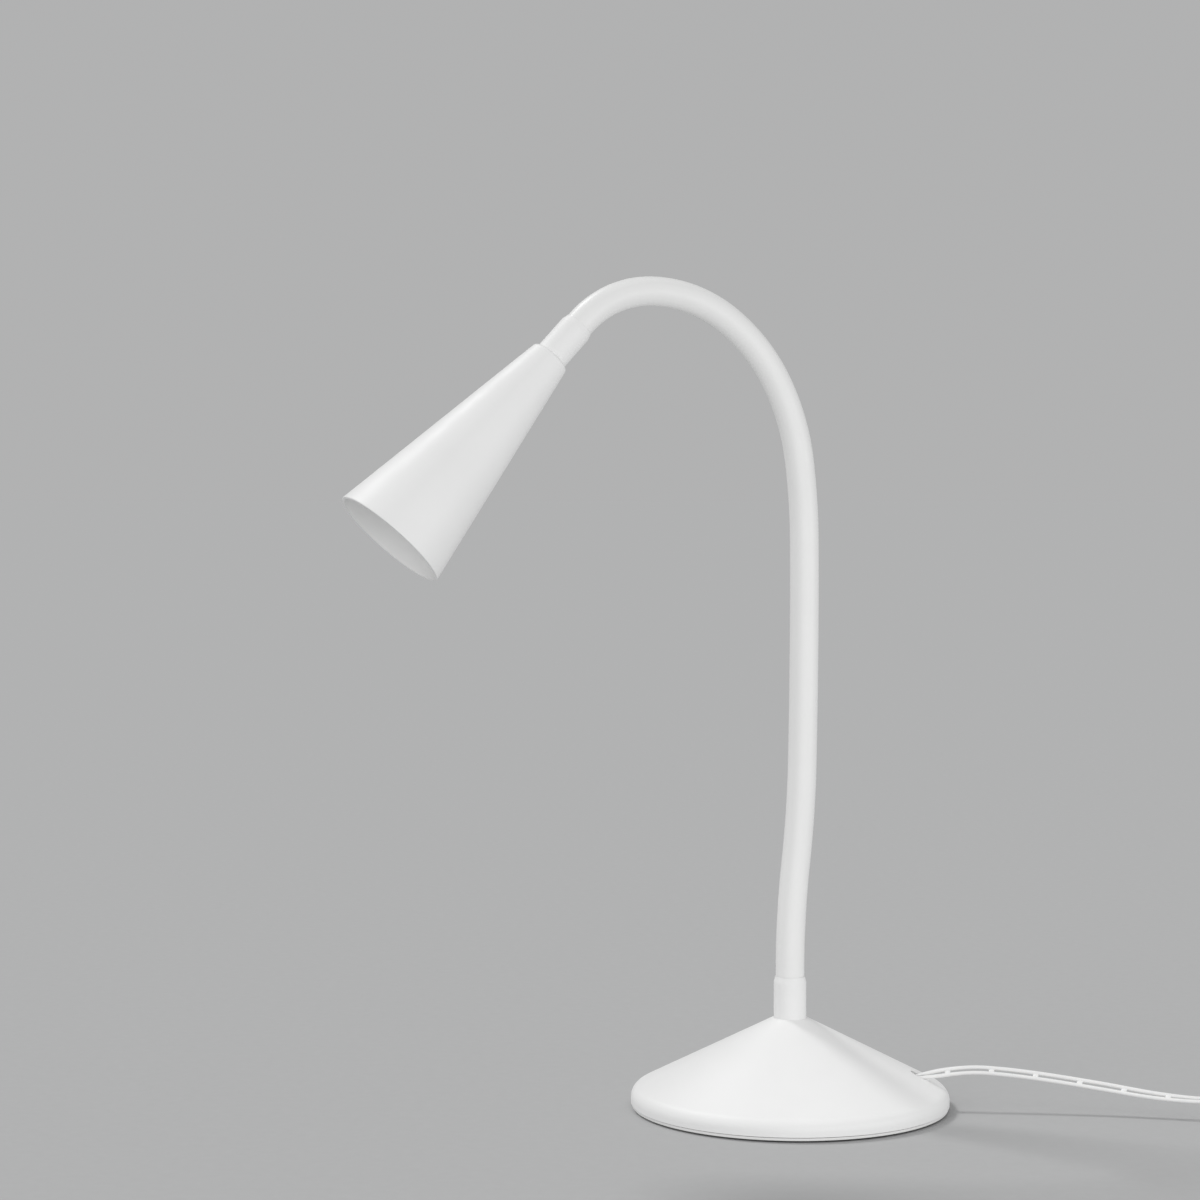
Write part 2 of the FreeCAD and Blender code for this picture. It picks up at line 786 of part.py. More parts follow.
def head_pieces():
    """Everything that the shade carries."""
    keep("upper_collar", on_neck(collar_down(), HEAD_START))
    keep("upper_ferrule", on_neck(upper_ferrule(), 0))
    keep("shade", on_neck(shade(), 0))
    keep("shade_nut", on_neck(shade_nut(), 0))
    keep("heat_sink", on_neck(heat_sink(), 0))
    keep("led_board", on_neck(led_board(), 0))
    keep("led_chip", on_neck(disc(chip_d, board_front, board_front + chip_t), 0))
    keep("reflector", on_neck(reflector(), 0))
    keep("lens", on_neck(fitted(lens_start, ring_start), 0))
    inner = 2 * (shade_inner_r(ring_start) - slide_gap - lens_ring_w)
    keep("lens_ring", on_neck(fitted(ring_start, ring_end, inner), 0))
    keep("board_screws", on_neck(board_screws(), 0))


def collar_down():
    """The same collar with its taper at its start."""
    out = collar()
    out.rotate(V(0, 0, collar_l / 2), X_AXIS, 180)
    return out


def base_pieces():
    """Everything in and under the base's cover."""
    keep("base_cover", base_cover())
    keep("base_plate", base_plate())
    keep("base_weight", base_weight())
    keep("foot_pad", disc(foot_d, 0, foot_t))
    keep("base_screws", base_screws())
    keep("stem_ferrule", stem_ferrule())
    keep("stem_nut", stem_nut())
    keep("lock_washer", lock_washer())
    lower = collar()
    lower.translate(V(0, 0, base_h))
    keep("lower_collar", lower)
    keep("cord_grommet", cord_grommet())
    keep("cord_clamp", cord_clamp())
    keep("clamp_screws", clamp_screws())
    keep("terminal_block", terminal_block())
    keep("base_lead", base_lead())


# In-line switch, built along +X with its cord entry at the origin, on z = 0
switch_at = V(cord_points[-1][0], cord_points[-1][1], 0)
switch_dir = (V(*cord_points[-1]) - V(*cord_points[-2])).normalize()
switch_azimuth = math.degrees(math.atan2(switch_dir.y, switch_dir.x))
switch_split = cord_points[-1][2]
pivot_z = switch_h - rocker_pin_depth


def on_switch(shape):
    """Place a piece of the switch on the cord."""
    out = shape.copy()
    out.rotate(ORIGIN, Z_AXIS, switch_azimuth)
    out.translate(switch_at)
    return out


def rounded_box(length, width, z0, z1, corner_r, edge_r, start=0.0):
    """Box along +X with rounded upright corners and rounded top and bottom edges."""
    out = Part.makeBox(length, width, z1 - z0, V(start, -width / 2, z0))
    upright = [e for e in out.Edges if abs(e.Vertexes[0].X - e.Vertexes[1].X) < 1e-6
               and abs(e.Vertexes[0].Y - e.Vertexes[1].Y) < 1e-6]
    out = out.makeFillet(corner_r, upright)
    if edge_r > 0:
        level = [e for e in out.Edges if abs(e.BoundBox.ZMax - e.BoundBox.ZMin) < 1e-6]
        out = out.makeFillet(edge_r, level)
    return out


def rocker_solid():
    """Rocker about its pin at the origin."""
    end = rocker_half_l
    top = switch_h - pivot_z + rocker_rise
    side = [(-end, top), (0, top - rocker_dip), (end, top), (end, -rocker_end_depth),
            (rocker_keel_half_l, -rocker_keel_depth), (-rocker_keel_half_l, -rocker_keel_depth),
            (-end, -rocker_end_depth)]
    wire = rounded_wire([(x, z, rocker_edge_r) for x, z in side])
    body = Part.Face(wire).extrude(V(0, rocker_w, 0))
    body.translate(V(0, -rocker_w / 2, 0))
    return body


def switch_screw_places():
    """Centres of the case's four screws."""
    ends = (switch_screw_inset, switch_l - switch_screw_inset)
    return [V(x, y, 0) for x in ends for y in (-switch_w / 4, switch_w / 4)]


def switch_case():
    """Hollow case with its pillars, screw holes and the rocker's well, still in one piece."""
    outer = rounded_box(switch_l, switch_w, 0, switch_h, switch_corner_r, switch_edge_r)
    inner = rounded_box(switch_l - 2 * switch_wall, switch_w - 2 * switch_wall, switch_wall,
                        switch_h - switch_wall, switch_corner_r - switch_wall, switch_inner_r, switch_wall)
    hole_d = switch_screw_d + slide_gap
    sink_d = switch_screw_head_d + 2 * slide_gap
    pillars = []
    holes = []
    for p in switch_screw_places():
        for shape, kept in ((disc(pillar_d, switch_wall - bite, switch_h - switch_wall + bite), pillars),
                            (disc(hole_d, -past, switch_h - switch_hole_top), holes),
                            (disc(sink_d, -past, switch_screw_sink), holes)):
            shape.translate(p)
            kept.append(shape)
    middle = switch_l / 2
    side = rocker_w / 2
    sweep_r = math.hypot(rocker_half_l, switch_h - pivot_z + rocker_rise) + rocker_gap
    room = Part.makeBox(2 * sweep_r, rocker_w + 2 * rocker_gap, switch_h,
                        V(middle - sweep_r, -side - rocker_gap, switch_split + rocker_room_floor))
    cheek_z = pivot_z - rocker_cheek_drop
    cheek = Part.makeBox(rocker_cheek_l, rocker_w + 2 * rocker_cheek_t, switch_h - cheek_z,
                         V(middle - rocker_cheek_l / 2, -side - rocker_cheek_t, cheek_z))
    pin_reach = rocker_pin_reach + rocker_gap
    pin_hole = rod(rocker_pin_d + 2 * pivot_gap, V(middle, -side - pin_reach, pivot_z), Y_AXIS,
                   rocker_w + 2 * pin_reach)
    return outer.cut(inner).fuse(pillars + [cheek.common(outer)]).cut([room, pin_hole] + holes)


def switch_rocker():
    """Rocker with its pin, at rest towards the off side."""
    pin_l = rocker_w + 2 * rocker_pin_reach
    pin = rod(rocker_pin_d, V(0, -pin_l / 2, 0), Y_AXIS, pin_l)
    rocker = rocker_solid()
    rocker.rotate(ORIGIN, Y_AXIS, rocker_tilt)
    rocker = rocker.fuse(pin).removeSplitter()
    rocker.translate(V(switch_l / 2, 0, pivot_z))
    return rocker


def switch_contacts():
    """Two strips on the case's floor, each with a post in its middle."""
    out = []
    for y in (-contact_side, contact_side):
        low = V(switch_l / 2, y - contact_w / 2, switch_wall)
        strip = Part.makeBox(contact_l, contact_w, contact_t, low - V(contact_l / 2, 0, 0))
        post = Part.makeBox(contact_t, contact_w, contact_post_h, low - V(contact_t / 2, 0, 0))
        out.append(strip.fuse(post).removeSplitter())
    return Part.makeCompound(out)


def switch_screws():
    """Screws from below into the upper half's pillars."""
    out = []
    for p in switch_screw_places():
        s = pan_screw(switch_screw_d, switch_screw_l, switch_screw_head_d, switch_screw_head_t)
        s.translate(p + V(0, 0, switch_screw_sink))
        out.append(s)
    return Part.makeCompound(out)


def switch_pieces():
    """Case halves, rocker, contacts and screws."""
    case = switch_case()
    size = (switch_l + 2 * past, switch_w + 2 * past)
    corner = V(-past, -switch_w / 2 - past, 0)
    below = Part.makeBox(*size, switch_split, corner)
    above = Part.makeBox(*size, switch_h - switch_split, corner + V(0, 0, switch_split))
    keep("switch_bottom", on_switch(case.common(below).removeSplitter()))
    keep("switch_top", on_switch(case.common(above).removeSplitter()))
    keep("switch_rocker", on_switch(switch_rocker()))
    keep("switch_contacts", on_switch(switch_contacts()))
    keep("switch_screws", on_switch(switch_screws()))


# Coil: layers of turns that spiral in, climb a layer, and spiral out again
coil_pitch = cord_d + cord_gap
layer_rise = cord_d + cord_gap
coil_outer_r = coil_mid_r + coil_turns_per_layer * coil_pitch / 2
coil_centre = V(link_points[-1][0], link_points[-1][1] + coil_outer_r, 0)
coil_z = link_points[-1][2]


def coil_point(turns):
    """Point and direction of travel on the coil's centre line after a number of turns."""
    inward = turns <= coil_turns_per_layer
    passed = turns if inward else 2 * coil_turns_per_layer - turns
    r = coil_outer_r - passed * coil_pitch
    climb = min(max((turns - coil_turns_per_layer) / 0.5 + 0.5, 0.0), 1.0)
    a = math.radians(-90 + 360 * turns)
    at_turn_back = abs(turns - coil_turns_per_layer) < 1e-9
    dr = 0.0 if at_turn_back else (-coil_pitch if inward else coil_pitch) / (2 * math.pi)
    dz = layer_rise / math.pi * climb_steepness if at_turn_back else 0.0
    p = coil_centre + V(r * math.cos(a), r * math.sin(a), coil_z + layer_rise * climb)
    t = V(dr * math.cos(a) - r * math.sin(a), dr * math.sin(a) + r * math.cos(a), dz)
    return p, t.normalize()


def biarc(p0, t0, p1, t1):
    """Two arcs that leave p0 along t0 and reach p1 along t1."""
    v = p1 - p0
    t = t0 + t1
    a = 2 * (1 - t0.dot(t1))
    b = 2 * v.dot(t)
    c = -v.dot(v)
    d = -c / b if abs(a) < 1e-9 else (-b + math.sqrt(b * b - 4 * a * c)) / (2 * a)
    q0 = p0 + t0 * d
    q1 = p1 - t1 * d
    joint = (q0 + q1) * 0.5
    edges = []
    for start, corner, end in ((p0, q0, joint), (joint, q1, p1)):
        into = (start - corner).normalize()
        out = (end - corner).normalize()
        half = (math.pi - into.getAngle(out)) / 2
        radius = d / math.tan(half)
        mid = corner + (into + out).normalize() * (math.hypot(radius, d) - radius)
        edges.append(Part.Arc(start, mid, end).toShape())
    return edges


def coil_tube():
    """One unbroken tube of both layers, with a straight end each side."""
    steps = int(round(coil_turns_per_layer * 8))
    stations = [coil_point(k * 0.25) for k in range(steps + 1)]
    start, start_dir = stations[0][0], V(1, 0, 0)
    stations[0] = (start + start_dir * cord_d, start_dir)
    edges = [Part.LineSegment(start, start + start_dir * cord_d).toShape()]
    end, end_dir = stations[-1][0], V(-1, 0, 0)
    stations[-1] = (end, end_dir)
    for (p0, t0), (p1, t1) in zip(stations, stations[1:]):
        edges += biarc(p0, t0, p1, t1)
    edges.append(Part.LineSegment(end, end + end_dir * cord_d).toShape())
    wire = Part.Wire(edges)
    tube = swept(wire, cord_d, start, start_dir)
    say_volume("cord_coil", wire, tube, cord_d)
    print("cord_coil radius least %.1f" % min(e.Curve.Radius for e in edges if hasattr(e.Curve, "Radius")))
    print("cord_coil least gap to itself %.2f" % (least_gap(wire) - cord_d))
    return tube, end + end_dir * cord_d


def least_gap(wire):
    """Least distance between points of the line that are over a half turn apart along it."""
    step = 2.0
    pts = wire.discretize(Distance=step)
    apart = int(coil_mid_r * 2 / step)
    least = 1e9
    for i in range(0, len(pts)):
        for j in range(i + apart, len(pts)):
            d = (pts[i] - pts[j]).Length
            if d < least:
                least = d
    return least


def cord_pieces():
    """Cord stretches, coil, its band and the plug."""
    keep("cord_run", cord_tube("cord_run", cord_points, cord_d))
    keep("cord_link", cord_tube("cord_link", link_points, cord_d))
    coil, coil_end = coil_tube()
    keep("cord_coil", coil)
    tail = [tuple(coil_end)] + [(coil_end.x - back, coil_end.y + aside, coil_end.z - down)
                                for back, aside, down in tail_steps]
    keep("cord_tail", cord_tube("cord_tail", tail, cord_d))
    tail_end = V(*tail[-1])
    out_dir = (V(*tail[-1]) - V(*tail[-2])).normalize()
    plug_pieces(tail_end, out_dir)
    band()


def band():
    """Band round both layers of the coil, on the side away from the ends."""
    inner_r = 2 * coil_mid_r - coil_outer_r - cord_d / 2
    outer_r = coil_outer_r + cord_d / 2
    top = coil_z + layer_rise + cord_d / 2
    wall = cord_lift - fit_gap
    inside_w = outer_r - inner_r + 2 * fit_gap
    inside_h = top - cord_lift + 2 * fit_gap
    hole = Part.makeBox(inside_w, band_w + 2 * past, inside_h,
                        V(inner_r - fit_gap, -band_w / 2 - past, cord_lift - fit_gap))
    outer = Part.makeBox(inside_w + 2 * wall, band_w, inside_h + 2 * wall,
                         V(inner_r - fit_gap - wall, -band_w / 2, 0))
    tie = outer.cut(hole)
    tie.translate(coil_centre)
    keep("cord_tie", tie)


def plug_case():
    """Flat case along +X, narrow at the cord's end, with holes for the pins' roots."""
    half = [(0, plug_neck_w / 2), (plug_neck_l, plug_neck_w / 2),
            (plug_shoulder_l, plug_w / 2), (plug_l, plug_w / 2)]
    outline = [(x, -y) for x, y in half] + half[::-1]
    flat = Part.Face(Part.makePolygon([V(x, y, -plug_h / 2) for x, y in outline + outline[:1]]))
    body = flat.extrude(V(0, 0, plug_h))
    body = body.makeFillet(plug_edge_r, body.Edges)
    for y in (-plug_pin_pitch / 2, plug_pin_pitch / 2):
        body = body.cut(rod(plug_root_d, V(plug_l - plug_pin_root, y, 0), X_AXIS, plug_pin_root + past))
    return body


def plug_pins():
    """Two round pins with domed tips and thinner roots."""
    out = []
    for y in (-plug_pin_pitch / 2, plug_pin_pitch / 2):
        pin = turned([(0, 0), (plug_pin_d / 2, 0), (plug_pin_d / 2, plug_pin_l, plug_tip_r), (0, plug_pin_l)])
        pin = pin.fuse(disc(plug_root_d, -plug_pin_root, 0)).removeSplitter()
        pin.rotate(ORIGIN, Y_AXIS, 90)
        pin.translate(V(plug_l, y, 0))
        out.append(pin)
    return Part.makeCompound(out)


def plug_pieces(at, direction):
    """Flat plug at the cord's end, with its pins ahead."""
    azimuth = math.degrees(math.atan2(direction.y, direction.x))
    for name, shape in (("plug_case", plug_case()), ("plug_pins", plug_pins())):
        shape.rotate(ORIGIN, Z_AXIS, azimuth)
        shape.translate(at)
        keep(name, shape)
    print("plug pins from", [round(v, 4) for v in (at + polar(plug_l, azimuth))], "azimuth %.2f" % azimuth)


base_pieces()
neck_pieces()
keep("neck_lead", neck_lead(board_back))
head_pieces()
switch_pieces()
cord_pieces()

print("last bending point u %.2f z %.2f tilt %.2f" % (HEAD_U, HEAD_Z, HEAD_TILT))
os.makedirs("parts", exist_ok=True)
for name, shape in parts.items():
    shape.exportStep("parts/" + name + ".step")
print(len(parts), "pieces")
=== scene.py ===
import json
import math

import bmesh
import bpy
from mathutils import Matrix, Vector


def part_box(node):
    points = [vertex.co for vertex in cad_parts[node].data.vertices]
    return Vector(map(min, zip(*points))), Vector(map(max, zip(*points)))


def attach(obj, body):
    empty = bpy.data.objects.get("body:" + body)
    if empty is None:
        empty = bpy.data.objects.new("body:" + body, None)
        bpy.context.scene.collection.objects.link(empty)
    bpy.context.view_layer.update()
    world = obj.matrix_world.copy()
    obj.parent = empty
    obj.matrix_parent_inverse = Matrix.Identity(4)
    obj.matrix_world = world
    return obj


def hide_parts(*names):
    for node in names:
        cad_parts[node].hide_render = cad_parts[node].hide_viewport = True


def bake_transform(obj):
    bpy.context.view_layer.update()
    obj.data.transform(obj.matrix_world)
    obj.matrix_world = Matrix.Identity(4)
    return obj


# Gooseneck desk lamp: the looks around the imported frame.
# Metres, +Z up, the base's centre at the origin.

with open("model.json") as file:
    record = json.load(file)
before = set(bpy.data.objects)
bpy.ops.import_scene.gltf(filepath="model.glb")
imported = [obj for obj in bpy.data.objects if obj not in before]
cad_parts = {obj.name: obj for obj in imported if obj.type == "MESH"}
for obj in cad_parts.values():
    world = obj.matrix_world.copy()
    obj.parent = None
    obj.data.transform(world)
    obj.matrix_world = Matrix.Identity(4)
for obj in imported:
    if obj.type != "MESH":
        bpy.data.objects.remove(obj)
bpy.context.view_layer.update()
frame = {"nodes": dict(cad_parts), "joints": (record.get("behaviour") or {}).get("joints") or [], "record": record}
NODES = frame["nodes"]
UP = Vector((0, 0, 1))

# Camera, as the photograph was taken
camera_place = (-0.08958, -1.3573, 0.2988)
camera_pitch = 2.5             # degrees below the horizon
focal_px = 2898.3              # in the photograph's frame
frame_px = 1200
sensor_mm = 36.0
clip_near = 0.05
clip_far = 100.0

# Studio: the floor and the background have one tone
floor_colour = (0.515, 0.517, 0.519)
floor_half = 30.0
floor_drop = 0.00005           # keeps the floor clear of the object's underside
soft_colour = (0.995, 0.998, 1.0)
soft_strength = 0.54
shown_colour = (0.442, 0.4435, 0.445)
suns = [                       # name, direction, strength and width in degrees
    ("key", (0.55, -0.42, -1.0), 1.00, 12.0),
    ("left", (0.7, 0.5, -0.5), 0.38, 44.0),
]
fills = [                      # name, place, power, width and height
    ("front", (0.1, -1.15, 0.2), 4.3, 1.5, 0.36),
    ("right", (1.0, -0.55, 0.25), 2.3, 0.6, 0.45),
]
fill_aim = (-0.05, 0, 0.25)

# Materials
noise_low = 0.3                # most of a noise's values lie between these two
noise_high = 0.7

# Neck
neck_r = 0.00675
sleeve_inner_r = 0.0063        # leaves the stiff core room to bend inside
lead_r = 0.0024
head_gap = 0.0018              # and stops this far past the last bending point
sleeve_end = 0.0116            # along the head's axis, inside the upper collar
lead_end = 0.099               # the same, at the light's board
ring_step = 0.0014
neck_sides = 72
least_turn = 0.0001            # a stretch that turns less, in radians, is straight
arch_stretch = 5               # a stretch in the arch, counted from the base
lead_sides = 20

# Twin cord
cord_width = 0.005
strand_r = 0.00093
strand_apart = 0.00314
strand_sides = 12
cord_step = 0.0014
bridge_first = 0.0223          # from the cord's start to the middle of the first bridge
bridge_pitch = 0.02055
bridge_l = 0.0026
bridge_t = 0.0011
bridge_flare = 0.55            # how much it widens where it meets a strand
bridge_rings = 4               # on each side of its middle
bridge_sides = 12
lie_exit = -8.0                # how far the cord's width stands up from flat, in degrees
lie_visible = 44.0
lie_switch = 12.0
lie_coil = 90.0
lie_plug = 0.0
turned_share = 0.6             # of the way to the switch, where the cord starts to lie down again
coil_leave = 0.075             # from the plug, where it starts to turn flat
plug_enter = 0.01              # and where it lies flat
cord_points = [
    (0.05207, -0.00364, 0.0132),
    (0.0775, -0.00542, 0.0193),
    (0.104, -0.008, 0.0181),
    (0.139, -0.0142, 0.0138),
    (0.174, -0.0236, 0.009),
    (0.203, -0.03137, 0.009),
]
link_points = [
    (0.26289, -0.04742, 0.009),
    (0.27834, -0.05156, 0.009),
    (0.298, -0.054, 0.0038),
    (0.314, -0.054, 0.0038),
]
coil_turns_per_layer = 3.75
coil_mid_r = 0.0305
coil_pitch = 0.0055
layer_rise = 0.0055
coil_points_per_turn = 24
tail_steps = [(0.011, 0.0, 0.0), (0.024, 0.002, 0.0013), (0.037, 0.002, 0.0013)]
spline_fineness = 16


def material(name):
    """New node material with its tree, shader and the object's own coordinates."""
    mat = bpy.data.materials.new(name)
    mat.use_nodes = True
    tree = mat.node_tree
    shader = tree.nodes["Principled BSDF"]
    coords = tree.nodes.new("ShaderNodeTexCoord")
    return mat, tree, shader, coords.outputs["Object"]


def noise(tree, coords, scale, detail=3.0, roughness=0.5, stretch=None):
    """Noise value over the object's own coordinates, stretched along an axis if asked."""
    if stretch:
        mapping = tree.nodes.new("ShaderNodeMapping")
        mapping.inputs["Scale"].default_value = stretch
        tree.links.new(coords, mapping.inputs["Vector"])
        coords = mapping.outputs["Vector"]
    node = tree.nodes.new("ShaderNodeTexNoise")
    node.inputs["Scale"].default_value = scale
    node.inputs["Detail"].default_value = detail
    node.inputs["Roughness"].default_value = roughness
    tree.links.new(coords, node.inputs["Vector"])
    return node.outputs["Fac"]


def gloss(tree, shader, value, low, high):
    """Roughness from low to high over a noise value's usual range."""
    node = tree.nodes.new("ShaderNodeMapRange")
    node.inputs["From Min"].default_value = noise_low
    node.inputs["From Max"].default_value = noise_high
    node.inputs["To Min"].default_value = low
    node.inputs["To Max"].default_value = high
    tree.links.new(value, node.inputs["Value"])
    tree.links.new(node.outputs["Result"], shader.inputs["Roughness"])


def tone(tree, shader, value, colour, darkest, lightest):
    """Base colour between two shades of a colour, over a noise value's usual range."""
    ramp = tree.nodes.new("ShaderNodeValToRGB")
    ramp.color_ramp.elements[0].color = (*tinted(colour, darkest), 1)
    ramp.color_ramp.elements[0].position = noise_low
    ramp.color_ramp.elements[1].color = (*tinted(colour, lightest), 1)
    ramp.color_ramp.elements[1].position = noise_high
    tree.links.new(value, ramp.inputs["Fac"])
    tree.links.new(ramp.outputs["Color"], shader.inputs["Base Color"])


def bump(tree, shader, value, depth):
    """Relief of a real depth in metres."""
    node = tree.nodes.new("ShaderNodeBump")
    node.inputs["Strength"].default_value = 1.0
    node.inputs["Distance"].default_value = depth
    tree.links.new(value, node.inputs["Height"])
    tree.links.new(node.outputs["Normal"], shader.inputs["Normal"])


def tinted(colour, factor):
    """Colour times a factor."""
    return tuple(min(1.0, c * factor) for c in colour)


def painted(name, colour, rough, peel_scale, peel_depth, coat=0.0):
    """Painted or moulded surface: faint clouding, uneven gloss and a fine orange peel."""
    mat, tree, shader, coords = material(name)
    clouding = noise(tree, coords, scale=22.0, detail=4.0)
    tone(tree, shader, clouding, colour, darkest=0.98, lightest=1.01)
    wear = noise(tree, coords, scale=85.0, detail=5.0, roughness=0.6)
    gloss(tree, shader, wear, rough - 0.04, rough + 0.05)
    bump(tree, shader, noise(tree, coords, peel_scale, detail=2.0, roughness=0.45), peel_depth)
    shader.inputs["Specular IOR Level"].default_value = 0.45
    shader.inputs["Coat Weight"].default_value = coat
    shader.inputs["Coat Roughness"].default_value = 0.2
    return mat


def insulation(name, colour, rough):
    """Soft cord insulation, faintly clouded, with an uneven gloss and a fine grain."""
    mat, tree, shader, coords = material(name)
    clouding = noise(tree, coords, scale=60.0, detail=4.0)
    tone(tree, shader, clouding, colour, darkest=0.965, lightest=1.01)
    gloss(tree, shader, noise(tree, coords, scale=420.0), rough - 0.06, rough + 0.06)
    bump(tree, shader, noise(tree, coords, scale=2600.0, detail=2.0), depth=0.000018)
    shader.inputs["Subsurface Weight"].default_value = 0.08
    shader.inputs["Subsurface Radius"].default_value = (0.001, 0.0009, 0.0008)
    return mat


def brushed(name, colour, rough, stretch=(1, 1, 12)):
    """Worked metal with fine lines and uneven gloss."""
    mat, tree, shader, coords = material(name)
    lines = noise(tree, coords, scale=900.0, detail=4.0, roughness=0.6, stretch=stretch)
    tone(tree, shader, lines, colour, darkest=0.86, lightest=1.05)
    gloss(tree, shader, lines, rough - 0.08, rough + 0.1)
    bump(tree, shader, lines, depth=0.00001)
    shader.inputs["Metallic"].default_value = 1.0
    return mat


def cast(name, colour, rough):
    """Rough cast metal."""
    mat, tree, shader, coords = material(name)
    grain = noise(tree, coords, scale=700.0, detail=6.0, roughness=0.65)
    tone(tree, shader, grain, colour, darkest=0.75, lightest=1.15)
    gloss(tree, shader, grain, rough - 0.1, rough + 0.1)
    bump(tree, shader, grain, depth=0.00008)
    shader.inputs["Metallic"].default_value = 0.9
    return mat


def rubber(name, colour, rough):
    """Matt rubber with a fine grain."""
    mat, tree, shader, coords = material(name)
    grain = noise(tree, coords, scale=1800.0, detail=5.0, roughness=0.6)
    tone(tree, shader, grain, colour, darkest=0.88, lightest=1.06)
    gloss(tree, shader, noise(tree, coords, scale=160.0, detail=4.0), rough - 0.05, rough + 0.08)
    bump(tree, shader, grain, depth=0.00003)
    return mat


def opal(name, colour):
    """Milky diffuser that lets light through."""
    mat, tree, shader, coords = material(name)
    tone(tree, shader, noise(tree, coords, scale=120.0), colour, darkest=0.975, lightest=1.0)
    gloss(tree, shader, noise(tree, coords, scale=600.0), 0.3, 0.38)
    bump(tree, shader, noise(tree, coords, scale=3200.0, detail=1.0), depth=0.00001)
    shader.inputs["Subsurface Weight"].default_value = 0.35
    shader.inputs["Subsurface Radius"].default_value = (0.004, 0.004, 0.0038)
    return mat


def phosphor(name, colour):
    """Yellow phosphor of the light's chip."""
    mat, tree, shader, coords = material(name)
    grain = noise(tree, coords, scale=2500.0, detail=4.0)
    tone(tree, shader, grain, colour, darkest=0.8, lightest=1.0)
    gloss(tree, shader, grain, 0.5, 0.65)
    bump(tree, shader, grain, depth=0.00002)
    return mat


MATERIALS = {
    "white_paint": painted("shell_white", (0.86, 0.86, 0.857), 0.50, 950.0, 0.000022),
    "white_sleeve": painted("sleeve_white", (0.855, 0.855, 0.85), 0.40, 1300.0, 0.000018),
    "neck_steel": brushed("neck_steel", (0.55, 0.55, 0.56), 0.35),
    "ballast": cast("ballast_iron", (0.2, 0.2, 0.21), 0.55),
    "inner_plastic": painted("plate_white", (0.83, 0.83, 0.825), 0.46, 1600.0, 0.00003),
    "foot_rubber": rubber("foot_rubber", (0.05, 0.05, 0.052), 0.8),
    "cord_rubber": rubber("grommet_rubber", (0.62, 0.62, 0.61), 0.6),
    "plated_steel": brushed("zinc_plate", (0.62, 0.62, 0.63), 0.3, (8, 1, 1)),
    "brass_metal": brushed("nickel_plate", (0.68, 0.66, 0.6), 0.22, (12, 1, 1)),
    "cord_white": insulation("cord_white", (0.84, 0.84, 0.835), 0.42),
    "switch_white": painted("switch_white", (0.84, 0.84, 0.835), 0.26, 700.0, 0.000012, coat=0.25),
    "sink_metal": cast("sink_aluminium", (0.6, 0.61, 0.62), 0.42),
    "led_yellow": phosphor("led_phosphor", (0.82, 0.62, 0.16)),
    "reflector_white": painted("reflector_white", (0.83, 0.83, 0.825), 0.3, 1200.0, 0.00001, coat=0.2),
    "lens_opal": opal("lens_opal", (0.8, 0.8, 0.79)),
}


def dress(obj, slot):
    """Give an object its finish."""
    obj.data.materials.clear()
    obj.data.materials.append(MATERIALS[slot])


def new_mesh(name, bm):
    """Object from a bmesh, with outward faces."""
    bmesh.ops.recalc_face_normals(bm, faces=bm.faces)
    mesh = bpy.data.meshes.new(name)
    bm.to_mesh(mesh)
    bm.free()
    obj = bpy.data.objects.new(name, mesh)
    bpy.context.scene.collection.objects.link(obj)
    return obj


def loft(bm, rings, closed_ends=True):
    """Smooth skin through rings of points, closed by flat end faces if asked.
    Returns the rings' vertices."""
    made = [[bm.verts.new(p) for p in ring] for ring in rings]
    for a, b in zip(made, made[1:]):
        for i in range(len(a)):
            j = (i + 1) % len(a)
            face = bm.faces.new((a[i], a[j], b[j], b[i]))
            face.smooth = True
    if closed_ends:
        for ring in (made[0], made[-1]):
            bm.faces.new(ring)
            for i in range(len(ring)):
                bm.edges.get((ring[i], ring[(i + 1) % len(ring)])).smooth = False
    return made


def circle(middle, side, up, r, sides):
    """Points of a circle about a middle, in the plane of side and up."""
    angles = [2 * math.pi * i / sides for i in range(sides)]
    return [middle + side * (r * math.cos(a)) + up * (r * math.sin(a)) for a in angles]


# Neck: arcs between the bending points, straight before the first and after the last
NECK_JOINTS = [j for j in frame["joints"] if j["name"].startswith("neck_")]
PIVOTS = [Vector(j["pos_m"]) for j in NECK_JOINTS]


class Stretch:
    """One arc or straight stretch of the neck's centre line."""

    def __init__(self, start, direction, end):
        self.start, self.direction = start, direction
        chord = end - start
        self.turn = 2 * direction.angle(chord)
        self.bent = self.turn > least_turn
        if self.bent:
            self.axis = direction.cross(chord).normalized()
            radius = chord.length / (2 * math.sin(self.turn / 2))
            self.centre = start + self.axis.cross(direction) * radius
            self.length = radius * self.turn
        else:
            self.length = chord.length

    def at(self, distance):
        """Point and direction at a distance along the stretch."""
        if not self.bent:
            return self.start + self.direction * distance, self.direction
        turned = Matrix.Rotation(self.turn * distance / self.length, 3, self.axis)
        return self.centre + turned @ (self.start - self.centre), turned @ self.direction


def neck_stretches():
    """The neck from the base's axis to far along the head's axis."""
    first = Stretch(Vector((0, 0, 0)), UP, PIVOTS[0])
    out = [first]
    direction = UP
    for a, b in zip(PIVOTS, PIVOTS[1:]):
        out.append(Stretch(a, direction, b))
        direction = out[-1].at(out[-1].length)[1]
    out.append(Stretch(PIVOTS[-1], direction, PIVOTS[-1] + direction))
    return out


NECK = neck_stretches()
NECK_SIDE = NECK[arch_stretch].axis    # level, square to the neck's plane


